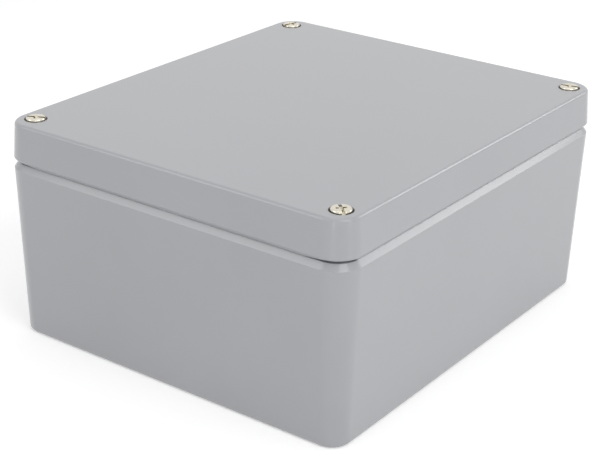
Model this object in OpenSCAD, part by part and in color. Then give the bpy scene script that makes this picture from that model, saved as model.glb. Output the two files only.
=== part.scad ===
// Die cast enclosure: a drafted base with four corner pillars, and a screwed lid with a seal.
// The origin is the middle of the foot, +Z is up and the front faces -Y.

/* [Outside] */
// Width across the front, at the split between base and lid
box_w = 200; // [180:5:260]
// Depth from front to back, at the split
box_d = 230; // [190:5:300]
// Height of the base casting, from foot to rim
base_h = 90.5; // [70:0.5:130]
// Height of the lid casting, from lower edge to top
lid_h = 20; // [18.5:0.5:24]
// Open joint between the base's rim and the lid's lower edge
split_gap = 0.5; // [0.3:0.1:1]
// Radius of the upright corners, at the split
corner_r = 13; // [10:0.5:14]
// Lean of the base's sides, in degrees
base_draft = 1.9; // [0.5:0.1:2.2]
// Lean of the lid's sides, in degrees
lid_draft = 4; // [1:0.5:6]
// Rounding where the base's sides meet the foot
foot_r = 2.5; // [1:0.5:4]
// Rounding round the lid's top
top_r = 1.8; // [1:0.2:3]
// Width of the bevel outside the base's rim
rim_bevel_w = 2.2; // [1:0.1:2.4]
// Height of the bevel outside the base's rim
rim_bevel_h = 3; // [1:0.1:3.5]
// Width of the bevel under the lid's edge
edge_bevel_w = 1.3; // [0.8:0.1:1.8]
// Height of the bevel under the lid's edge
edge_bevel_h = 2; // [1:0.1:3]

/* [Castings] */
// Thickness of the base's wall, at the rim
wall_t = 5.5; // [5:0.5:8]
// Thickness of the base's floor
floor_t = 4.5; // [3:0.5:7]
// Thickness of the lid's roof
roof_t = 4; // [3:0.5:6]
// Lean of the inner walls of both castings, in degrees
core_draft = 1; // [0.5:0.1:1.5]
// Fillet where the inner walls meet the floor
floor_r = 3; // [1:0.5:4]
// Fillet where the lid's inner walls meet the roof
roof_r = 1.5; // [0.5:0.5:2]
// Fillet between the inner walls and the pillars, at the rim
core_r = 6.5; // [6:0.5:9]
// Rounding of each pillar's inner corner
pillar_r = 5; // [4:0.5:8]
// Metal between the holes in a pillar and its inner sides
pillar_margin = 4; // [3.5:0.5:6]

/* [Seal] */
// Width of the tongue that stands on the rim
tongue_w = 1.8; // [1.2:0.1:2.4]
// Height of the tongue above the rim
tongue_h = 3; // [2:0.5:4]
// Width of the lid's seal groove
groove_w = 3.6; // [3:0.1:4]
// Depth of the lid's seal groove, from the lid's lower edge
groove_d = 6; // [5:0.5:8]
// Width of the lip inside the seal groove
lip_w = 2.5; // [2:0.1:3]
// How far the tongue sinks into the seal
seal_bite = 1; // [0.4:0.2:1.4]
// Clearance between the seal and the groove's sides, each side
seal_gap = 0.1; // [0.05:0.05:0.2]

/* [Lid screws] */
// Distance of each screw from the nearest side face
screw_inset_x = 11; // [11:0.5:15]
// Distance of each screw from the front or rear face
screw_inset_y = 12.5; // [12:0.5:15]
// Thread diameter
thread_d = 6; // [5:0.5:6]
// Radial clearance between a thread and its tapped hole
thread_gap = 0.05; // [0.03:0.01:0.1]
// Radial clearance round the thread where it passes the lid
shank_gap = 0.2; // [0.15:0.05:0.5]
// Screw length under the head
screw_l = 28; // [24:1:34]
// Room left under the screw's tip
tip_room = 2; // [1:0.5:4]
// Diameter of the screw's head
head_d = 9.5; // [8.5:0.5:11]
// Height of the screw's head
head_h = 4; // [3.6:0.1:5]
// Rounding round the head's top
head_r = 0.8; // [0.4:0.2:2]
// Radial gap round the head in its counterbore
head_gap = 0.8; // [0.3:0.1:0.9]
// Depth of the head's seat below the lid's top
head_sink = 3; // [2:0.5:4]
// Width of the slot across the head
slot_w = 1.5; // [1:0.1:2]
// Depth of the slot across the head
slot_d = 1.5; // [1:0.1:2]
// Span of the cross recess, at the head's top
cross_w = 5.8; // [4:0.2:6.4]
// Depth of the cross recess
cross_d = 2.8; // [2:0.1:3.2]

/* [Screw retainers] */
// Outer diameter of the ring that keeps a screw in the lid
ring_d = 8.4; // [7.6:0.2:9]
// Thickness of the ring
ring_t = 2; // [1:0.2:3]
// Radial gap round the ring in its well and chamber
ring_gap = 0.5; // [0.3:0.1:0.8]
// Play under the ring
ring_play = 0.3; // [0.2:0.1:0.5]
// Depth of the ring's well in the base's rim
well_d = 3; // [2.5:0.5:5]
// Height of the ring's chamber in the lid
chamber_h = 8.2; // [6:0.2:9]

/* [Wall fixing] */
// Distance from each lid screw to the fixing hole beside it
fix_step = 13; // [11:0.5:15]
// Diameter of the fixing holes
fix_hole_d = 7; // [5:0.5:7.5]
// Diameter of the bores that take the fixing screws' heads
fix_head_d = 11; // [9:0.5:12]
// Metal under the fixing screws' heads
fix_seat_t = 9; // [6:1:15]

/* [Lever slots] */
// Length of the slots under the lid's front and rear edges, from each corner
lever_l = 22; // [18:1:26]
// Length of each slot's full height, which slopes away from there
lever_flat = 10; // [8:1:14]
// Reach of the slots under the lid
lever_w = 7; // [4:0.5:7]
// Height of the slots, at the corners
lever_h = 1.3; // [0.4:0.1:1.6]

/* [Inside] */
// Spacing of the mounting bosses across the width
plate_pitch_x = 110; // [80:5:120]
// Spacing of the mounting bosses along the depth
plate_pitch_y = 180; // [100:5:180]
// Diameter of the mounting bosses, at their tops
plate_boss_d = 11; // [9:0.5:14]
// Height of the mounting bosses above the floor
plate_boss_h = 8; // [4:1:15]
// Diameter of the tapped holes in the mounting bosses
plate_hole_d = 5; // [3:0.5:6]
// Depth of the tapped holes in the mounting bosses
plate_hole_l = 9; // [6:1:10]
// Fillet round the foot of every boss
boss_foot_r = 2; // [0.5:0.5:3]

/* [Earth terminals] */
// Distance of the earth terminals from the right outer face
earth_inset = 28; // [24:1:34]
// Diameter of the earth bosses, at their tops
earth_boss_d = 13; // [12:0.5:15]
// Height of the base's earth boss
earth_boss_h = 10; // [8:1:14]
// Height of the lid's earth boss
lid_boss_h = 7; // [6:0.5:8]
// Depth of the tapped holes in the earth bosses
earth_hole_l = 9; // [7:0.5:9]
// Length of the earth screws under the head
earth_screw_l = 11; // [9:0.5:11.5]
// Thickness of the clamp plate
clamp_t = 1.5; // [1:0.1:2]
// Length of the clamp plate, along the walls
clamp_l = 12; // [9:0.5:15]
// How far the clamp plate's lips reach down beside the boss
clamp_lip = 2; // [1:0.5:3]
// Side clearance between the clamp's lips and the boss
clamp_gap = 0.4; // [0.3:0.1:1]
// Outer diameter of the spring lock washer
lock_d = 10.4; // [9:0.2:11.5]
// Thickness of the spring lock washer
lock_t = 1.6; // [1:0.1:2]
// Width of the lock washer's split
lock_split = 1.2; // [0.6:0.2:2]

/* [Hidden] */

$fn = 64;
arc_steps = 6;
// Length by which a cut runs past the face that it opens
over = 1;
// Distance that carried sections keep from the axis of a corner, which the plan inside them fills
axis_gap = 0.5;
// How far that plan reaches into the sections
plan_lap = 0.2;
// Corner signs, [x, y]
front_left = [-1, -1];
front_right = [1, -1];
rear_left = [-1, 1];
rear_right = [1, 1];
corners = [front_left, front_right, rear_left, rear_right];

paint = [0.63, 0.635, 0.65];
rubber = [0.16, 0.16, 0.17];
nickel = [0.8, 0.79, 0.74];
nylon = [0.9, 0.9, 0.86];
zinc = [0.75, 0.76, 0.78];

lid_z = base_h + split_gap;
top_z = lid_z + lid_h;
roof_z = top_z - roof_t;
core_in = core_r - axis_gap;
outer_in = corner_r - axis_gap;

screw_x = box_w / 2 - screw_inset_x;
screw_y = box_d / 2 - screw_inset_y;
fix_x = screw_x - fix_step;
pillar_x = box_w / 2 - (screw_inset_x + fix_step + fix_head_d / 2 + pillar_margin);
pillar_y = box_d / 2 - (screw_inset_y + fix_head_d / 2 + pillar_margin);
earth_x = box_w / 2 - earth_inset;

tongue_top = base_h + tongue_h;
groove_in = (tongue_w - groove_w) / 2;
groove_out = (tongue_w + groove_w) / 2;
groove_top = lid_z + groove_d;
lip_in = groove_in - lip_w;

seat_z = top_z - head_sink;
tapped_r = thread_d / 2 + thread_gap;
tapped_floor = seat_z - screw_l - tip_room;
ring_room_r = ring_d / 2 + ring_gap;
well_z = base_h - well_d;

// Outer outline at the split, and the outline of the inside at the rim: [x, y, corner radius]
outer_path = rectangle_path(box_w / 2, box_d / 2, corner_r);
inner_path = cross_path(box_w / 2 - wall_t, box_d / 2 - wall_t, pillar_x, pillar_y);

function xy(p) = [p.x, p.y];
function left_of(d) = [-d.y, d.x];
function arc(centre, r, from, to) = [
    for (k = [0 : arc_steps])
        let (a = from + (to - from) * k / arc_steps)
        centre + r * [cos(a), sin(a)]
];
function rectangle_path(x, y, r) = [[x, -y, r], [x, y, r], [-x, y, r], [-x, -y, r]];

// The inside's outline, anticlockwise from the front: each corner steps round a pillar
function cross_path(x, y, px, py) = [
    [px, -y, core_r], [px, -py, pillar_r], [x, -py, core_r],
    [x, py, core_r], [px, py, pillar_r], [px, y, core_r],
    [-px, y, core_r], [-px, py, pillar_r], [-x, py, core_r],
    [-x, -py, core_r], [-px, -py, pillar_r], [-px, -y, core_r]
];

// What one corner of a path needs: its point, its radius, the way it is reached, and its turn,
// which is 1 to the left and -1 to the right
function previous(path, i) = path[(i + len(path) - 1) % len(path)];
function following(path, i) = path[(i + 1) % len(path)];
function way_in(path, i) =
    let (step = xy(path[i]) - xy(previous(path, i))) step / norm(step);
function turn_at(path, i) =
    sign(cross(way_in(path, i), xy(following(path, i)) - xy(path[i])));
function straight_before(path, i) =
    norm(xy(path[i]) - xy(previous(path, i))) - previous(path, i)[2] - path[i][2];

module at_corner(path, i) {
    heading = way_in(path, i);
    translate([path[i].x, path[i].y, 0]) rotate(atan2(heading.y, heading.x)) children();
}

// Carries a section round a path. The section's x runs outwards from the path and its y is up.
module carry(path) {
    for (i = [0 : len(path) - 1]) {
        r = path[i][2];
        turn = turn_at(path, i);
        run = straight_before(path, i);
        at_corner(path, i) {
            translate([-r - run / 2, 0, 0]) rotate([90, 0, -90])
                linear_extrude(run, center = true) children();
            translate([-r, turn * r, 0]) rotate(turn > 0 ? -90 : 0)
                rotate_extrude(angle = 90) translate([r, 0])
                    mirror([turn > 0 ? 0 : 1, 0]) children();
        }
    }
}

// The plan that is left inside a carried section of width inset
module plan_inside(path, inset) {
    lapped = inset - plan_lap;
    polygon([
        for (i = [0 : len(path) - 1])
            let (heading = way_in(path, i))
            xy(path[i]) + lapped * (left_of(heading) - turn_at(path, i) * heading)
    ]);
    for (i = [0 : len(path) - 1])
        if (turn_at(path, i) < 0)
            at_corner(path, i) translate([-path[i][2], -path[i][2]]) difference() {
                square(path[i][2] + inset);
                circle(path[i][2] + lapped);
            }
}

// A solid block whose sides have the section that is given
module block(path, inset, from_z, to_z) {
    carry(path) children();
    translate([0, 0, from_z]) linear_extrude(to_z - from_z) plan_inside(path, inset);
}

module at_corners(x, y) {
    for (c = corners) translate([c.x * x, c.y * y, 0]) children();
}

// A hole or a pin of plain section between two heights
module bore(r, from_z, to_z) {
    translate([0, 0, from_z]) cylinder(r = r, h = to_z - from_z);
}

// A round boss with the core's draft and a fillet at its foot, standing on z = 0
module boss(d, h) {
    foot_x = d / 2 + h * tan(core_draft);
    rotate_extrude() polygon(concat(
        [[0, -over], [foot_x + boss_foot_r, -over]],
        arc([foot_x + boss_foot_r, boss_foot_r], boss_foot_r, 270, 180),
        [[d / 2, h], [0, h]]
    ));
}

// ---- base ----

module base_section() {
    side_top = base_h - rim_bevel_h;
    foot_x = -(foot_r + (side_top - foot_r) * sin(base_draft)) / cos(base_draft);
    polygon(concat(
        [[-outer_in, 0]],
        arc([foot_x, foot_r], foot_r, -90, -base_draft),
        [[0, side_top], [-rim_bevel_w, base_h], [-outer_in, base_h]]
    ));
}

module tongue_section() {
    tip = tongue_w / 6;
    polygon([
        [-over, base_h - over], [tongue_w, base_h - over], [tongue_w, tongue_top - tip],
        [tongue_w - tip, tongue_top], [-over, tongue_top]
    ]);
}

module cavity_section() {
    foot_x = -(floor_r + (base_h - floor_t - floor_r) * sin(core_draft)) / cos(core_draft);
    polygon(concat(
        [[-core_in, floor_t]],
        arc([foot_x, floor_t + floor_r], floor_r, -90, -core_draft),
        [[0, base_h], [0, tongue_top + over], [-core_in, tongue_top + over]]
    ));
}

module lid_screw_hole() {
    bore(tapped_r, tapped_floor, base_h + over);
    bore(ring_room_r, well_z, base_h + over);
}

module fixing_hole() {
    bore(fix_hole_d / 2, -over, fix_seat_t + over);
    bore(fix_head_d / 2, fix_seat_t, base_h + over);
}

module base() {
    color(paint) difference() {
        union() {
            difference() {
                union() {
                    block(outer_path, outer_in, 0, base_h) base_section();
                    carry(inner_path) tongue_section();
                }
                block(inner_path, core_in, floor_t, tongue_top + over) cavity_section();
            }
            translate([0, 0, floor_t]) {
                at_corners(plate_pitch_x / 2, plate_pitch_y / 2) boss(plate_boss_d, plate_boss_h);
                translate([earth_x, 0, 0]) boss(earth_boss_d, earth_boss_h);
            }
        }
        at_corners(screw_x, screw_y) lid_screw_hole();
        at_corners(fix_x, screw_y) fixing_hole();
        translate([0, 0, floor_t + plate_boss_h - plate_hole_l])
            at_corners(plate_pitch_x / 2, plate_pitch_y / 2)
                bore(plate_hole_d / 2, 0, plate_hole_l + over);
        translate([earth_x, 0, floor_t + earth_boss_h])
            bore(tapped_r, -earth_hole_l, over);
    }
}

// ---- lid ----

module lid_section() {
    side_foot = lid_z + edge_bevel_h;
    crown_x = -(top_r + (top_z - top_r - side_foot) * sin(lid_draft)) / cos(lid_draft);
    polygon(concat(
        [[-outer_in, lid_z], [-edge_bevel_w, lid_z], [0, side_foot]],
        arc([crown_x, top_z - top_r], top_r, lid_draft, 90),
        [[-outer_in, top_z]]
    ));
}

module recess_section() {
    crown_x = lip_in - (roof_r + (roof_z - roof_r - lid_z) * sin(core_draft)) / cos(core_draft);
    polygon(concat(
        [[-core_in, lid_z - over], [lip_in, lid_z - over], [lip_in, lid_z]],
        arc([crown_x, roof_z - roof_r], roof_r, core_draft, 90),
        [[-core_in, roof_z]]
    ));
}

module groove_section() {
    translate([groove_in, lid_z - over]) square([groove_w, groove_d + over]);
}

module screw_passage() {
    bore(thread_d / 2 + shank_gap, lid_z, top_z);
    bore(ring_room_r, lid_z - over, lid_z + chamber_h);
    bore(head_d / 2 + head_gap, seat_z, top_z + over);
}

// A slot that is cut from a corner at x = 0, y = 0 and goes round the corner's rounding
module lever_slot() {
    round_end = corner_r + over;
    translate([0, 0, lid_z]) intersection() {
        translate([0, 0, -over]) linear_extrude(lever_h + over) polygon([
            [over, over], [-lever_l, over], [-lever_l, -lever_w],
            [lever_w - round_end, -lever_w], [0, -round_end], [over, -round_end]
        ]);
        rotate([90, 0, 0]) linear_extrude(4 * corner_r, center = true) polygon([
            [-lever_l, -over], [over, -over], [over, lever_h], [-lever_flat, lever_h], [-lever_l, 0]
        ]);
    }
}

module lid() {
    color(paint) difference() {
        union() {
            difference() {
                block(outer_path, outer_in, lid_z, top_z) lid_section();
                block(inner_path, core_in, lid_z - over, roof_z) recess_section();
            }
            translate([earth_x, 0, roof_z]) mirror([0, 0, 1]) boss(earth_boss_d, lid_boss_h);
        }
        carry(inner_path) groove_section();
        at_corners(screw_x, screw_y) screw_passage();
        for (c = corners)
            mirror([c.x > 0 ? 0 : 1, 0, 0]) mirror([0, c.y > 0 ? 0 : 1, 0])
                translate([box_w / 2, box_d / 2, 0]) lever_slot();
        translate([earth_x, 0, roof_z - lid_boss_h]) bore(tapped_r, -over, earth_hole_l);
    }
}

// ---- seal ----

module gasket_section() {
    difference() {
        translate([groove_in + seal_gap, tongue_top - seal_bite])
            square([groove_w - 2 * seal_gap, groove_top - tongue_top + seal_bite]);
        translate([-seal_gap, tongue_top - seal_bite - over])
            square([tongue_w + 2 * seal_gap, seal_bite + over]);
    }
}

module gasket() {
    color(rubber) carry(inner_path) gasket_section();
}

// ---- screws ----

// A slot right across the head, crossed with a tapered cross recess, cut down from z = 0
module drive_recess() {
    cross_tip = cross_w / 3;
    cross_t = slot_w * 0.8;
    translate([-head_d / 2 - over, -slot_w / 2, -slot_d])
        cube([head_d + 2 * over, slot_w, slot_d + over]);
    for (a = [0, 90])
        rotate([90, 0, a]) linear_extrude(cross_t, center = true)
            polygon([
                [-cross_w / 2, over], [-cross_w / 2, 0], [-cross_tip / 2, -cross_d],
                [cross_tip / 2, -cross_d], [cross_w / 2, 0], [cross_w / 2, over]
            ]);
}

// A screw with its head's underside on z = 0
module screw(length, slot_angle) {
    tip = thread_d / 8;
    rotate(slot_angle) difference() {
        rotate_extrude() polygon(concat(
            [[0, -length], [thread_d / 2 - tip, -length], [thread_d / 2, tip - length],
             [thread_d / 2, 0], [head_d / 2, 0]],
            arc([head_d / 2 - head_r, head_h - head_r], head_r, 0, 90),
            [[0, head_h]]
        ));
        translate([0, 0, head_h]) drive_recess();
    }
}

module lid_screw(corner, slot_angle) {
    color(nickel) translate([corner.x * screw_x, corner.y * screw_y, seat_z])
        screw(screw_l, slot_angle);
}

module retainer(corner) {
    rim = ring_t / 6;
    color(nylon) translate([corner.x * screw_x, corner.y * screw_y, well_z + ring_play])
        rotate_extrude() polygon([
            [tapped_r, 0], [ring_d / 2 - rim, 0], [ring_d / 2, rim],
            [ring_d / 2, ring_t - rim], [ring_d / 2 - rim, ring_t], [tapped_r, ring_t]
        ]);
}

// ---- earth terminals ----

// Each terminal stands on a boss top at z = 0: clamp plate, lock washer, screw
module in_base() {
    translate([earth_x, 0, floor_t + earth_boss_h]) children();
}

module in_lid() {
    translate([earth_x, 0, roof_z - lid_boss_h]) mirror([0, 0, 1]) children();
}

module clamp() {
    inner = earth_boss_d / 2 + clamp_gap;
    color(zinc) difference() {
        translate([-clamp_l / 2, 0, 0]) rotate([90, 0, 90]) linear_extrude(clamp_l)
            polygon([
                [-inner - clamp_t, -clamp_lip], [-inner, -clamp_lip], [-inner, 0], [inner, 0],
                [inner, -clamp_lip], [inner + clamp_t, -clamp_lip], [inner + clamp_t, clamp_t],
                [-inner - clamp_t, clamp_t]
            ]);
        bore(thread_d / 2 + shank_gap, -over, clamp_t + over);
    }
}

module lock_washer() {
    color(zinc) difference() {
        bore(lock_d / 2, clamp_t, clamp_t + lock_t);
        bore(thread_d / 2 + shank_gap, clamp_t - over, clamp_t + lock_t + over);
        translate([0, -lock_split / 2, clamp_t - over]) cube([lock_d, lock_split, lock_t + 2 * over]);
    }
}

module earth_screw() {
    color(nickel) translate([0, 0, clamp_t + lock_t]) screw(earth_screw_l, 30);
}

base();
lid();
gasket();
lid_screw(front_left, 28);  // screw_front_left
lid_screw(front_right, -42);  // screw_front_right
lid_screw(rear_left, 75);  // screw_rear_left
lid_screw(rear_right, 12);  // screw_rear_right
retainer(front_left);  // retainer_front_left
retainer(front_right);  // retainer_front_right
retainer(rear_left);  // retainer_rear_left
retainer(rear_right);  // retainer_rear_right
in_base() earth_screw();  // base_earth_screw
in_base() lock_washer();  // base_earth_lock_washer
in_base() clamp();  // base_earth_clamp
in_lid() earth_screw();  // lid_earth_screw
in_lid() lock_washer();  // lid_earth_lock_washer
in_lid() clamp();  // lid_earth_clamp
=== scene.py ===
from math import cos, pi, radians, sin

import bmesh
import bpy
from bpy.props import FloatProperty, FloatVectorProperty, PointerProperty
from mathutils import Matrix, Vector


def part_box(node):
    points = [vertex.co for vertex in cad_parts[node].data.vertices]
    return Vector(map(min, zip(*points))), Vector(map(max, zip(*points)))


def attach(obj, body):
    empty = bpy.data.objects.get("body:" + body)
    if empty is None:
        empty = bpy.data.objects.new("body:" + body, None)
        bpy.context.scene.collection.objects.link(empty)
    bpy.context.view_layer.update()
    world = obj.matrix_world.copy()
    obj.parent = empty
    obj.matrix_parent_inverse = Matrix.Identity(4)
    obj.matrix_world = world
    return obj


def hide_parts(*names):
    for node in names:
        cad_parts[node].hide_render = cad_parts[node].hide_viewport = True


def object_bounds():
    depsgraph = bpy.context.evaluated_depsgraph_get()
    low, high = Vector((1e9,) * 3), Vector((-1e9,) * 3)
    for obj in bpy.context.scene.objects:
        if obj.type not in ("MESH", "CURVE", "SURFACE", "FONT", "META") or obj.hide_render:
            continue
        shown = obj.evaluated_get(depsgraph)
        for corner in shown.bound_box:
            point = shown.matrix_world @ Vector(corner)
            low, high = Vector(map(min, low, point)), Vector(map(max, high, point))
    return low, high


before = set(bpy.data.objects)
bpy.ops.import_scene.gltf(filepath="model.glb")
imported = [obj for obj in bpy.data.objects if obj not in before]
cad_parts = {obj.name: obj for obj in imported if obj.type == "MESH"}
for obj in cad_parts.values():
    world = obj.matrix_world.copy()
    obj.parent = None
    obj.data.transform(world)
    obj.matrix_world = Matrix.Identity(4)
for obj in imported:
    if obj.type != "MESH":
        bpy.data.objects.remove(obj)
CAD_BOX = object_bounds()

bl_info = {
    "name": "Die cast enclosure",
    "version": (1, 0, 0),
    "blender": (4, 5, 0),
    "location": "3D View > Sidebar > Enclosure",
    "description": "Finishes the castings, seal, screws and earth terminals of a die cast enclosure",
    "category": "Object",
}

MM = 0.001
PLACES = ("front_left", "front_right", "rear_left", "rear_right")

# Edges that turn by more than these stay sharp.
SHARP = radians(32)
SCREW_SHARP = radians(40)

# Clean-up of the castings' meshes.
WELD = 0.002 * MM
FLAT = radians(0.4)

# How each screw stands after it was done up, in degrees.
SCREW_ANGLES = dict(zip(PLACES, (28, -42, 75, 12)))
EARTH_SCREW_ANGLE = 30

# Screws: steps round, the slack for picking by height, and the small sizes.
CORE_STEPS, HEAD_STEPS, COIL_STEPS = 48, 64, 24
HAIR = 0.01 * MM
HEAD_OVERLAP = 0.2 * MM
TIP_CHAMFER = 0.75 * MM
HEAD_UNDERSIDE = 0.15 * MM
BLADE_WIDTH_SHARE = 0.8
BLADE_TAPER = 1 / 3

# Lamps, each with its power's setting, its size and its place in metres.
LAMPS = {
    "key_lamp": ("key", (0.5, 0.5), (0.75, -0.35, 0.75)),
    "side_lamp": ("side", (0.4, 0.5), (-0.55, -0.75, 0.6)),
    "rim_lamp": ("rim", (0.35, 0.35), (0.55, 0.8, 0.52)),
    "top_lamp": ("top", (0.9, 0.9), (0, 0.1, 1.3)),
}
LAMPS_AIM = (0, 0, 0.06)
STRIP_SIZE = (0.05, 0.33)
STRIP_AWAY = 0.36
STRIP_HEIGHT = 0.17
SENSOR = 36
CAMERA_CLIP = (0.05, 20)
FLOOR_SIZE = 12
FLOOR_GLOW = 0.3


# ---- sizes and colours ----

class PaintSettings(bpy.types.PropertyGroup):
    """The paint on the two castings."""
    colour: FloatVectorProperty(
        name="Paint colour", description="Colour of the paint", subtype="COLOR", size=3,
        min=0, max=1, default=(0.372, 0.378, 0.397))
    roughness: FloatProperty(
        name="Roughness", description="Roughness of the dry paint", subtype="FACTOR",
        min=0, max=1, default=0.32)
    peel_size: FloatProperty(
        name="Orange peel", description="Width of one dimple of the paint's skin",
        unit="LENGTH", default=1.5 * MM)
    edge_round: FloatProperty(
        name="Edge rounding", description="Rounding that the paint leaves on sharp edges",
        unit="LENGTH", default=0.3 * MM)


class ScrewSettings(bpy.types.PropertyGroup):
    """The threaded screws."""
    colour: FloatVectorProperty(
        name="Nickel colour", description="Colour of the plating", subtype="COLOR", size=3,
        min=0, max=1, default=(0.70, 0.66, 0.56))
    thread: FloatProperty(
        name="Thread", description="Outer diameter of the thread", unit="LENGTH", default=6 * MM)
    pitch: FloatProperty(
        name="Pitch", description="Rise of the thread in one turn", unit="LENGTH", default=1 * MM)
    thread_depth: FloatProperty(
        name="Thread depth", description="Depth of the thread's groove", unit="LENGTH",
        default=0.6 * MM)
    head: FloatProperty(
        name="Head", description="Diameter of the head", unit="LENGTH", default=9.5 * MM)
    head_height: FloatProperty(
        name="Head height", description="Height of the head", unit="LENGTH", default=4 * MM)
    shoulder: FloatProperty(
        name="Shoulder", description="Rounding round the head's top", unit="LENGTH",
        default=0.8 * MM)
    slot_width: FloatProperty(
        name="Slot width", description="Width of the slot", unit="LENGTH", default=1.5 * MM)
    slot_depth: FloatProperty(
        name="Slot depth", description="Depth of the slot", unit="LENGTH", default=1.5 * MM)
    cross_span: FloatProperty(
        name="Cross span", description="Span of the cross recess at the top", unit="LENGTH",
        default=5.8 * MM)
    cross_depth: FloatProperty(
        name="Cross depth", description="Depth of the cross recess", unit="LENGTH",
        default=2.8 * MM)


class StageSettings(bpy.types.PropertyGroup):
    """The camera, the lamps and the floor."""
    azimuth: FloatProperty(
        name="Azimuth", description="Camera's way round the box from the front",
        subtype="ANGLE", default=radians(35.875))
    elevation: FloatProperty(
        name="Elevation", description="Camera's height above the level", subtype="ANGLE",
        default=radians(23.855))
    roll: FloatProperty(
        name="Roll", description="Camera's turn about its own view", subtype="ANGLE",
        default=radians(1.054))
    distance: FloatProperty(
        name="Distance", description="Camera's distance from its target", unit="LENGTH",
        default=0.7876)
    lens: FloatProperty(
        name="Lens", description="Focal length on a 36 mm sensor, in mm", default=91.907)
    target: FloatVectorProperty(
        name="Target", description="Point that the camera looks at", subtype="XYZ",
        unit="LENGTH", size=3, default=(-0.00365, -0.00341, 0.042))
    fill: FloatProperty(
        name="Fill", description="Level of the even light from all round", default=0.62)
    key: FloatProperty(
        name="Key", description="Power of the large lamp on the right, in watts", default=2.0)
    side: FloatProperty(
        name="Side", description="Power of the lamp on the left, in watts", default=1.3)
    rim: FloatProperty(
        name="Rim", description="Power of the lamp behind the right side, in watts", default=1.5)
    top: FloatProperty(
        name="Top", description="Power of the lamp overhead, in watts", default=1.5)
    left_strip: FloatProperty(
        name="Left strip",
        description="Way from the front corner to the left strip lamp, round from the front",
        subtype="ANGLE", default=radians(19))
    right_strip: FloatProperty(
        name="Right strip",
        description="Way from the front corner to the right strip lamp, round from the front",
        subtype="ANGLE", default=radians(85))
    strip: FloatProperty(
        name="Strips", description="Power of each of the two low strip lamps, in watts", default=0.1)


# ---- hand tools ----

def clear_selection():
    if bpy.context.mode != "OBJECT":
        bpy.ops.object.mode_set(mode="OBJECT")
    bpy.ops.object.select_all(action="DESELECT")


def take(obj):
    """Makes obj the only selected object, and the active one."""
    clear_selection()
    obj.select_set(True)
    bpy.context.view_layer.objects.active = obj


def pick(obj, kind, test):
    """Enters edit mode on obj and selects the elements of that kind that pass the test."""
    take(obj)
    bpy.ops.object.mode_set(mode="EDIT")
    bpy.ops.mesh.select_mode(type=kind)
    bpy.ops.mesh.select_all(action="DESELECT")
    mesh = bmesh.from_edit_mesh(obj.data)
    elements = {"VERT": mesh.verts, "EDGE": mesh.edges}[kind]
    found = [e for e in elements if test(e)]
    for e in found:
        e.select_set(True)
    mesh.select_flush_mode()
    bmesh.update_edit_mesh(obj.data)
    if not found:
        raise RuntimeError(f"nothing to select on {obj.name}")


def leave():
    bpy.ops.object.mode_set(mode="OBJECT")


def combine(obj, tool, operation):
    """Applies a boolean of tool to obj, and deletes the tool."""
    step = obj.modifiers.new(operation.title(), "BOOLEAN")
    step.operation, step.object, step.solver = operation, tool, "EXACT"
    take(obj)
    bpy.ops.object.modifier_apply(modifier=step.name)
    bpy.data.objects.remove(tool, do_unlink=True)
    if not obj.data.polygons:
        raise RuntimeError(f"{operation.lower()} left nothing of {obj.name}")


def added(name):
    """The primitive that was added last, under its own name."""
    obj = bpy.context.object
    obj.name = obj.data.name = name
    return obj


def cylinder(name, radius, low, high, steps):
    """A cylinder on the z axis, from low to high."""
    clear_selection()
    bpy.ops.mesh.primitive_cylinder_add(
        vertices=steps, radius=radius, depth=high - low, location=(0, 0, (low + high) / 2))
    obj = added(name)
    settle(obj)
    return obj


def settle(obj):
    """Moves obj's place, turn and scale into its mesh."""
    take(obj)
    bpy.ops.object.transform_apply(location=True, rotation=True, scale=True)


def smooth(obj, angle=SHARP):
    take(obj)
    bpy.ops.object.shade_smooth_by_angle(angle=angle)


def level_faces(obj):
    """Turns the normals to the large faces, so that flat walls shade flat up to their edges."""
    level = obj.modifiers.new("Level faces", "WEIGHTED_NORMAL")
    level.mode, level.weight, level.keep_sharp = "FACE_AREA", 100, True
    take(obj)
    bpy.ops.object.modifier_apply(modifier=level.name)


def paint(obj, material):
    obj.data.materials.clear()
    obj.data.materials.append(material)


def finish_as_built(node, finish):
    """Gives a material to a piece that keeps the mesh it came with."""
    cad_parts[node].material_slots[0].material = materials()[finish]


def finish_piece(obj, body, slot, *replaced):
    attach(obj, body)
    if replaced:
        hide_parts(*replaced)


# ---- shader node groups ----

def new_group(name, inputs, outputs):
    """A shader node group with float inputs {name: default} and outputs {name: socket type}."""
    group = bpy.data.node_groups.new(name, "ShaderNodeTree")
    for key, value in inputs.items():
        socket = group.interface.new_socket(
            name=key, in_out="INPUT", socket_type="NodeSocketFloat")
        socket.default_value = value
    for key, kind in outputs.items():
        group.interface.new_socket(name=key, in_out="OUTPUT", socket_type=kind)
    return group, group.nodes.new("NodeGroupInput"), group.nodes.new("NodeGroupOutput")


def wire(tree, *pairs):
    for out, into in pairs:
        tree.links.new(out, into)


def maths(tree, operation, a, b=0.0):
    """A Math node on one or two sockets or numbers; returns its output."""
    node = tree.nodes.new("ShaderNodeMath")
    node.operation = operation
    for socket, value in zip(node.inputs, (a, b)):
        if isinstance(value, (int, float)):
            socket.default_value = value
        else:
            tree.links.new(value, socket)
    return node.outputs[0]


def noise(tree, vector, scale, detail=2.0, roughness=0.5):
    node = tree.nodes.new("ShaderNodeTexNoise")
    node.inputs["Detail"].default_value = detail
    node.inputs["Roughness"].default_value = roughness
    tree.links.new(vector, node.inputs["Vector"])
    if isinstance(scale, (int, float)):
        node.inputs["Scale"].default_value = scale
    else:
        tree.links.new(scale, node.inputs["Scale"])
    return node.outputs["Fac"]


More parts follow.
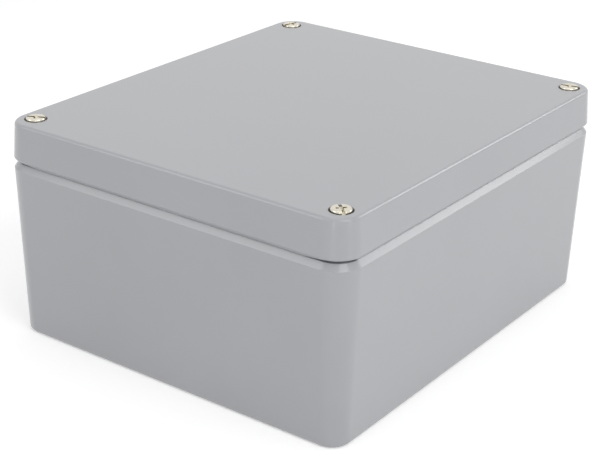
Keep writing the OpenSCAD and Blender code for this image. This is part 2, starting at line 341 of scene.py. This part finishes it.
def ramp(tree, value, low, high, to_low=0.0, to_high=1.0):
    """Maps value from low..high to to_low..to_high, clamped."""
    node = tree.nodes.new("ShaderNodeMapRange")
    node.clamp = True
    limits = {"From Min": low, "From Max": high, "To Min": to_low, "To Max": to_high}
    for key, number in limits.items():
        node.inputs[key].default_value = number
    tree.links.new(value, node.inputs["Value"])
    return node.outputs["Result"]


def surface_skin():
    """Skin: fine dimples over slow waves, and a slow mottle. Sizes are in metres."""
    group, given, out = new_group(
        "Skin", {"Dimple": 0.0015, "Wave": 0.012, "Wave Share": 0.35, "Mottle": 0.05},
        {"Height": "NodeSocketFloat", "Mottle": "NodeSocketFloat"})
    place = group.nodes.new("ShaderNodeTexCoord").outputs["Object"]
    dimples = noise(group, place, maths(group, "DIVIDE", 1.0, given.outputs["Dimple"]), 1.5)
    waves = noise(group, place, maths(group, "DIVIDE", 1.0, given.outputs["Wave"]), 1.0)
    low_waves = maths(group, "MULTIPLY", waves, given.outputs["Wave Share"])
    height = maths(group, "ADD", dimples, low_waves)
    mottle = noise(group, place, maths(group, "DIVIDE", 1.0, given.outputs["Mottle"]), 3.0, 0.6)
    wire(group, (height, out.inputs["Height"]), (mottle, out.inputs["Mottle"]))
    return group


def turned_marks():
    """Turned: rings left by a lathe, round the axis that the piece's own place is counted from."""
    group, given, out = new_group(
        "Turned", {"Ring": 0.00016, "Waver": 0.4},
        {"Height": "NodeSocketFloat", "Shade": "NodeSocketFloat"})
    own = group.nodes.new("ShaderNodeAttribute")
    own.attribute_name = "own_place"
    parts = group.nodes.new("ShaderNodeSeparateXYZ")
    group.links.new(own.outputs["Vector"], parts.inputs[0])
    x, y, z = parts.outputs
    radius = maths(group, "SQRT", maths(group, "ADD", maths(group, "MULTIPLY", x, x),
                                        maths(group, "MULTIPLY", y, y)))
    lined = group.nodes.new("ShaderNodeCombineXYZ")
    soft = 0.04     # the rings change this much more slowly across than along the radius
    broad_per_metre = 900.0
    wire(group, (radius, lined.inputs[0]), (maths(group, "MULTIPLY", x, soft), lined.inputs[1]),
         (maths(group, "ADD", z, maths(group, "MULTIPLY", y, soft)), lined.inputs[2]))
    rings_per_metre = maths(group, "DIVIDE", 1.0, given.outputs["Ring"])
    rings = noise(group, lined.outputs[0], rings_per_metre, 2.0, 0.6)
    broad = noise(group, own.outputs["Vector"], broad_per_metre, 2.0)
    shade = maths(group, "ADD", rings, maths(group, "MULTIPLY", broad, given.outputs["Waver"]))
    wire(group, (rings, out.inputs["Height"]), (shade, out.inputs["Shade"]))
    return group


def place_group(material, group, **values):
    node = material.node_tree.nodes.new("ShaderNodeGroup")
    node.node_tree = group
    for key, value in values.items():
        node.inputs[key.replace("_", " ")].default_value = value
    return node


def principled(name, colour, **values):
    """A material with one Principled BSDF, and that shader."""
    material = bpy.data.materials.new(name)
    material.use_nodes = True
    material.diffuse_color = (*colour, 1)
    shader = material.node_tree.nodes["Principled BSDF"]
    shader.inputs["Base Color"].default_value = (*colour, 1)
    for key, value in values.items():
        shader.inputs[key.replace("_", " ")].default_value = value
    return material, shader


def bump(material, height, shader, strength, distance):
    node = material.node_tree.nodes.new("ShaderNodeBump")
    node.inputs["Strength"].default_value = strength
    node.inputs["Distance"].default_value = distance
    wire(material.node_tree, (height, node.inputs["Height"]),
         (node.outputs["Normal"], shader.inputs["Normal"]))


def tinted(material, shader, factor, dark, light):
    """Base colour that goes from dark to light with the factor."""
    mix = material.node_tree.nodes.new("ShaderNodeMix")
    mix.data_type = "RGBA"
    mix.inputs["A"].default_value = (*dark, 1)
    mix.inputs["B"].default_value = (*light, 1)
    wire(material.node_tree, (factor, mix.inputs["Factor"]),
         (mix.outputs["Result"], shader.inputs["Base Color"]))


def scaled(colour, share):
    return tuple(min(1.0, c * share) for c in colour)


# ---- materials ----

def casting_paint(settings, skin):
    colour = tuple(settings.colour)
    material, shader = principled("casting_paint", colour, Roughness=settings.roughness,
                                  Specular_IOR_Level=0.5, Coat_Weight=0.5, Coat_Roughness=0.1)
    tree = material.node_tree
    node = place_group(material, skin, Dimple=settings.peel_size, Wave=8 * settings.peel_size,
                       Wave_Share=0.5, Mottle=0.06)
    tinted(material, shader, ramp(tree, node.outputs["Mottle"], 0.3, 0.7),
           scaled(colour, 0.975), scaled(colour, 1.02))
    spread = ramp(tree, node.outputs["Mottle"], 0.25, 0.75, settings.roughness - 0.03,
                  settings.roughness + 0.04)
    wire(tree, (spread, shader.inputs["Roughness"]))
    bump(material, node.outputs["Height"], shader, 0.12, 0.00006)
    return material


def nickel(settings, turned):
    colour = tuple(settings.colour)
    material, shader = principled("bright_nickel", colour, Metallic=1.0, Roughness=0.2)
    tree = material.node_tree
    node = place_group(material, turned, Ring=0.00018, Waver=0.5)
    tinted(material, shader, ramp(tree, node.outputs["Shade"], 0.45, 1.0),
           scaled(colour, 0.9), scaled(colour, 1.08))
    spread = ramp(tree, node.outputs["Shade"], 0.4, 1.0, 0.16, 0.27)
    wire(tree, (spread, shader.inputs["Roughness"]))
    bump(material, node.outputs["Height"], shader, 0.18, 0.00002)
    return material


def zinc(skin):
    material, shader = principled("bright_zinc", (0.6, 0.62, 0.65), Metallic=1.0, Roughness=0.3)
    tree = material.node_tree
    node = place_group(material, skin, Dimple=0.0006, Wave=0.003, Wave_Share=0.6, Mottle=0.003)
    tinted(material, shader, ramp(tree, node.outputs["Mottle"], 0.3, 0.7),
           (0.52, 0.55, 0.6), (0.72, 0.73, 0.72))
    spread = ramp(tree, node.outputs["Mottle"], 0.3, 0.7, 0.24, 0.38)
    wire(tree, (spread, shader.inputs["Roughness"]))
    bump(material, node.outputs["Height"], shader, 0.2, 0.00003)
    return material


def rubber(skin):
    material, shader = principled("seal_rubber", (0.028, 0.028, 0.03), Roughness=0.72,
                                  Specular_IOR_Level=0.35)
    tree = material.node_tree
    node = place_group(material, skin, Dimple=0.0005, Wave=0.004, Wave_Share=0.4, Mottle=0.01)
    tinted(material, shader, ramp(tree, node.outputs["Mottle"], 0.3, 0.7),
           (0.022, 0.022, 0.024), (0.042, 0.042, 0.044))
    spread = ramp(tree, node.outputs["Mottle"], 0.3, 0.7, 0.62, 0.82)
    wire(tree, (spread, shader.inputs["Roughness"]))
    bump(material, node.outputs["Height"], shader, 0.4, 0.00006)
    return material


def nylon(skin):
    colour = (0.76, 0.75, 0.68)
    material, shader = principled("natural_nylon", colour, Roughness=0.42, Subsurface_Weight=0.2,
                                  Subsurface_Scale=0.001)
    tree = material.node_tree
    node = place_group(material, skin, Dimple=0.0007, Wave=0.004, Wave_Share=0.5, Mottle=0.004)
    tinted(material, shader, ramp(tree, node.outputs["Mottle"], 0.3, 0.7),
           scaled(colour, 0.94), scaled(colour, 1.03))
    bump(material, node.outputs["Height"], shader, 0.2, 0.00004)
    return material


def materials():
    """Every finish of the box, by name. They are made once."""
    scene = bpy.context.scene
    if "bright_nickel" not in bpy.data.materials:
        skin, turned = surface_skin(), turned_marks()
        casting_paint(scene.enclosure_paint, skin)
        nickel(scene.enclosure_screws, turned)
        zinc(skin)
        rubber(skin)
        nylon(skin)
    return bpy.data.materials


# ---- operators ----

class CastingsOperator(bpy.types.Operator):
    """Rounds the edges of the base and the lid, and paints both all over"""
    bl_idname = "enclosure.castings"
    bl_label = "Castings"

    def execute(self, context):
        self.casting("base", "base_casting")
        self.casting("lid", "lid_casting")
        return {"FINISHED"}

    def casting(self, node, name):
        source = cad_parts[node]
        piece = bpy.data.objects.new(name, source.data.copy())
        piece.data.name = name
        bpy.context.scene.collection.objects.link(piece)
        take(piece)
        bpy.ops.mesh.customdata_custom_splitnormals_clear()
        bpy.ops.object.mode_set(mode="EDIT")
        bpy.ops.mesh.select_all(action="SELECT")
        bpy.ops.mesh.remove_doubles(threshold=WELD)
        bpy.ops.mesh.dissolve_limited(angle_limit=FLAT)
        leave()
        edges = piece.modifiers.new("Edge rounding", "BEVEL")
        edges.width = bpy.context.scene.enclosure_paint.edge_round
        edges.segments = 2
        edges.limit_method = "ANGLE"
        edges.angle_limit = SHARP
        edges.use_clamp_overlap = True
        take(piece)
        bpy.ops.object.modifier_apply(modifier=edges.name)
        smooth(piece)
        level_faces(piece)
        paint(piece, materials()["casting_paint"])
        finish_piece(piece, node, "painted_casting", node)


def own_place(obj):
    """Stores where each point is on the piece itself, before the piece is put in its place."""
    store = obj.data.attributes.new("own_place", "FLOAT_VECTOR", "POINT")
    store.data.foreach_set("vector", [c for v in obj.data.vertices for c in v.co])


def thread_ridge(size, length):
    """A helical ridge over z = -length to 0, with a turn to spare at each end."""
    outer = size.thread / 2
    root = outer - size.thread_depth
    clear_selection()
    bpy.ops.mesh.primitive_plane_add(size=1, location=(0, 0, 0))
    ridge = added("ridge")
    foot = 0.44 * size.pitch
    crest = 0.08 * size.pitch
    sunk = 0.15 * MM
    inner = root - sunk
    corners = ((inner, -foot), (outer, -crest), (outer, crest), (inner, foot))
    for vertex, (x, z) in zip((0, 1, 3, 2), corners):
        ridge.data.vertices[vertex].co = (x, 0, z)
    turns = round(length / size.pitch) + 2
    coil = ridge.modifiers.new("Coil", "SCREW")
    coil.axis, coil.angle, coil.screw_offset = "Z", 2 * pi, size.pitch
    coil.iterations, coil.steps, coil.render_steps = turns, COIL_STEPS, COIL_STEPS
    coil.use_smooth_shade = False
    take(ridge)
    bpy.ops.object.modifier_apply(modifier=coil.name)
    ridge.location.z = -length - size.pitch
    settle(ridge)
    return ridge


def drive_cutters(size):
    """The slot's cutter and the two blades of the cross recess."""
    top = size.head_height
    reach = size.head + 2 * MM
    over = 1 * MM
    tools = []
    clear_selection()
    bpy.ops.mesh.primitive_cube_add(size=1, location=(0, 0, top + (over - size.slot_depth) / 2))
    slot = added("slot")
    slot.scale = (reach, size.slot_width, size.slot_depth + over)
    settle(slot)
    tools.append(slot)
    for angle in (0, pi / 2):
        clear_selection()
        bpy.ops.mesh.primitive_cube_add(
            size=1, location=(0, 0, top + (over - size.cross_depth) / 2))
        blade = added("blade")
        blade.scale = (size.cross_span, BLADE_WIDTH_SHARE * size.slot_width,
                       size.cross_depth + over)
        settle(blade)
        low = top - size.cross_depth
        pick(blade, "VERT", lambda v: v.co.z < low + HAIR)
        bpy.ops.transform.resize(value=(BLADE_TAPER, 1, 1), center_override=(0, 0, low))
        leave()
        blade.rotation_euler.z = angle
        settle(blade)
        tools.append(blade)
    return tools


def screw(name, size, length):
    """A screw with its head's underside on z = 0, its axis on the origin."""
    outer = size.thread / 2
    core = cylinder(name, outer - size.thread_depth, -length, HEAD_OVERLAP, CORE_STEPS)
    ridge = thread_ridge(size, length)
    combine(core, ridge, "UNION")
    limit = cylinder("limit", outer, -length, 2 * HEAD_OVERLAP, CORE_STEPS)
    pick(limit, "EDGE", lambda e: all(v.co.z < -length + HAIR for v in e.verts))
    bpy.ops.mesh.bevel(offset=TIP_CHAMFER, segments=1, affect="EDGES")
    leave()
    combine(core, limit, "INTERSECT")
    head = cylinder("head", size.head / 2, 0, size.head_height, HEAD_STEPS)
    pick(head, "EDGE", lambda e: all(v.co.z > size.head_height - HAIR for v in e.verts))
    bpy.ops.mesh.bevel(offset=size.shoulder, segments=7, affect="EDGES")
    leave()
    pick(head, "EDGE", lambda e: all(v.co.z < HAIR for v in e.verts))
    bpy.ops.mesh.bevel(offset=HEAD_UNDERSIDE, segments=2, affect="EDGES")
    leave()
    for tool in drive_cutters(size):
        combine(head, tool, "DIFFERENCE")
    combine(core, head, "UNION")
    own_place(core)
    smooth(core, SCREW_SHARP)
    return core


def set_down(pattern, name, place, angle, flipped=False):
    """A copy of pattern with its own mesh, turned and moved in the mesh."""
    piece = bpy.data.objects.new(name, pattern.data.copy())
    piece.data.name = name
    bpy.context.scene.collection.objects.link(piece)
    piece.location = place
    piece.rotation_euler = (pi if flipped else 0, 0, angle)
    settle(piece)
    return piece


def middle(node):
    low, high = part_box(node)
    return (low + high) / 2


class LidScrewsOperator(bpy.types.Operator):
    """Cuts one threaded screw with a slot and cross recess, and sets it down at the four corners"""
    bl_idname = "enclosure.lid_screws"
    bl_label = "Lid screws"

    def execute(self, context):
        size = context.scene.enclosure_screws
        low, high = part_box("screw_front_left")
        pattern = screw("screw_pattern", size, high.z - low.z - size.head_height)
        paint(pattern, materials()["bright_nickel"])
        for place in PLACES:
            centre = middle(f"screw_{place}")
            seat = high.z - size.head_height
            piece = set_down(pattern, f"lid_screw_{place}", (centre.x, centre.y, seat),
                             radians(SCREW_ANGLES[place]))
            finish_piece(piece, f"screw_{place}", "nickel_screw", f"screw_{place}")
        bpy.data.objects.remove(pattern, do_unlink=True)
        return {"FINISHED"}


class RetainersOperator(bpy.types.Operator):
    """Gives the four retaining rings their nylon"""
    bl_idname = "enclosure.retainers"
    bl_label = "Screw retainers"

    def execute(self, context):
        for place in PLACES:
            finish_as_built(f"retainer_{place}", "natural_nylon")
        return {"FINISHED"}


class SealOperator(bpy.types.Operator):
    """Gives the seal its rubber"""
    bl_idname = "enclosure.seal"
    bl_label = "Seal"

    def execute(self, context):
        finish_as_built("gasket", "seal_rubber")
        return {"FINISHED"}


class EarthTerminalsOperator(bpy.types.Operator):
    """Finishes the two earth terminals: threaded screw, lock washer and clamp plate"""
    bl_idname = "enclosure.earth_terminals"
    bl_label = "Earth terminals"

    def execute(self, context):
        size = context.scene.enclosure_screws
        low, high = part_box("base_earth_screw")
        pattern = screw("earth_pattern", size, high.z - low.z - size.head_height)
        paint(pattern, materials()["bright_nickel"])
        for side, flipped in (("base", False), ("lid", True)):
            node = f"{side}_earth_screw"
            low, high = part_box(node)
            centre = middle(node)
            seat = low.z + size.head_height if flipped else high.z - size.head_height
            piece = set_down(pattern, f"{side}_terminal_screw", (centre.x, centre.y, seat),
                             radians(EARTH_SCREW_ANGLE), flipped)
            finish_piece(piece, side, "nickel_screw", node)
            for part in ("lock_washer", "clamp"):
                finish_as_built(f"{side}_earth_{part}", "bright_zinc")
        bpy.data.objects.remove(pattern, do_unlink=True)
        return {"FINISHED"}


def camera_turn(stage):
    """The camera's three axes in the box's frame, as the columns of a matrix."""
    az, el = stage.azimuth, stage.elevation
    back = Vector((sin(az) * cos(el), -cos(az) * cos(el), sin(el)))
    right = Vector((cos(az), sin(az), 0))
    up = back.cross(right)
    c, s = cos(stage.roll), sin(stage.roll)
    return Matrix((c * right + s * up, c * up - s * right, back)).transposed()


def lamp(name, power, size, place, target):
    data = bpy.data.lights.new(name, "AREA")
    data.energy, data.shape, data.size, data.size_y = power, "RECTANGLE", size[0], size[1]
    obj = bpy.data.objects.new(name, data)
    bpy.context.scene.collection.objects.link(obj)
    obj.location = place
    obj.rotation_euler = (Vector(target) - Vector(place)).to_track_quat("-Z", "Y").to_euler()
    return obj


def seen_directly(tree):
    """1 for camera, mirror and glass rays, 0 for the light that falls on things."""
    path = tree.nodes.new("ShaderNodeLightPath")
    either = maths(tree, "MAXIMUM", path.outputs["Is Camera Ray"], path.outputs["Is Glossy Ray"])
    return maths(tree, "MAXIMUM", either, path.outputs["Is Transmission Ray"])


class StageOperator(bpy.types.Operator):
    """Sets up the camera, the lamps, the white surroundings and the floor"""
    bl_idname = "enclosure.stage"
    bl_label = "Stage"

    def execute(self, context):
        scene = context.scene
        stage = scene.enclosure_stage
        turn = camera_turn(stage)
        camera = bpy.data.objects.new("camera", bpy.data.cameras.new("camera"))
        scene.collection.objects.link(camera)
        camera.data.lens = stage.lens
        camera.data.sensor_width = SENSOR
        camera.data.clip_start, camera.data.clip_end = CAMERA_CLIP
        camera.matrix_world = Matrix.Translation(
            Vector(stage.target) + turn @ Vector((0, 0, stage.distance))) @ turn.to_4x4()
        scene.camera = camera

        world = bpy.data.worlds.new("surroundings")
        scene.world = world
        world.use_nodes = True
        tree = world.node_tree
        back = tree.nodes["Background"]
        back.inputs["Color"].default_value = (1, 1, 1, 1)
        level = tree.nodes.new("ShaderNodeMapRange")
        level.inputs["To Min"].default_value = stage.fill
        level.inputs["To Max"].default_value = 1.0
        wire(tree, (seen_directly(tree), level.inputs["Value"]),
             (level.outputs["Result"], back.inputs["Strength"]))

        for name, (power, size, place) in LAMPS.items():
            lamp(name, getattr(stage, power), size, place, LAMPS_AIM)
        corner = Vector((CAD_BOX[1][0], CAD_BOX[0][1], 0))
        for name in ("left_strip", "right_strip"):
            turn_round = getattr(stage, name)
            away = Vector((sin(turn_round), -cos(turn_round), 0))
            place = corner + STRIP_AWAY * away + Vector((0, 0, STRIP_HEIGHT))
            strip = lamp(name, stage.strip, STRIP_SIZE, place, place - away)
            strip.visible_camera = False

        clear_selection()
        bpy.ops.mesh.primitive_plane_add(size=FLOOR_SIZE, location=(0, 0, 0))
        floor = added("floor")
        settle(floor)
        material, shader = principled("floor_white", (0.9, 0.9, 0.9), Roughness=0.9,
                                      Specular_IOR_Level=0.0)
        shader.inputs["Emission Color"].default_value = (1, 1, 1, 1)
        tree = material.node_tree
        wire(tree, (maths(tree, "MULTIPLY", seen_directly(tree), FLOOR_GLOW),
                    shader.inputs["Emission Strength"]))
        paint(floor, material)

        scene.view_settings.view_transform = "Standard"
        return {"FINISHED"}


PIECE_OPERATORS = (CastingsOperator, SealOperator, LidScrewsOperator, RetainersOperator,
                   EarthTerminalsOperator, StageOperator)


class EnclosurePanel(bpy.types.Panel):
    """Lists the box's settings and the steps that finish it."""
    bl_idname = "ENCLOSURE_PT_panel"
    bl_label = "Die cast enclosure"
    bl_space_type = "VIEW_3D"
    bl_region_type = "UI"
    bl_category = "Enclosure"

    def draw(self, context):
        for title, settings in (("Paint", context.scene.enclosure_paint),
                                ("Screws", context.scene.enclosure_screws),
                                ("Stage", context.scene.enclosure_stage)):
            box = self.layout.box()
            box.label(text=title)
            for key in settings.bl_rna.properties.keys():
                if key not in ("rna_type", "name"):
                    box.prop(settings, key)
        for operator in PIECE_OPERATORS:
            self.layout.operator(operator.bl_idname)


SETTINGS = {"enclosure_paint": PaintSettings, "enclosure_screws": ScrewSettings,
            "enclosure_stage": StageSettings}
CLASSES = (*SETTINGS.values(), *PIECE_OPERATORS, EnclosurePanel)


def register():
    for item in CLASSES:
        bpy.utils.register_class(item)
    for key, group in SETTINGS.items():
        setattr(bpy.types.Scene, key, PointerProperty(type=group))


def unregister():
    for key in SETTINGS:
        delattr(bpy.types.Scene, key)
    for item in reversed(CLASSES):
        bpy.utils.unregister_class(item)


def main():
    register()
    for operator in PIECE_OPERATORS:
        group, step = operator.bl_idname.split(".")
        getattr(getattr(bpy.ops, group), step)()


if __name__ == "__main__":
    main()
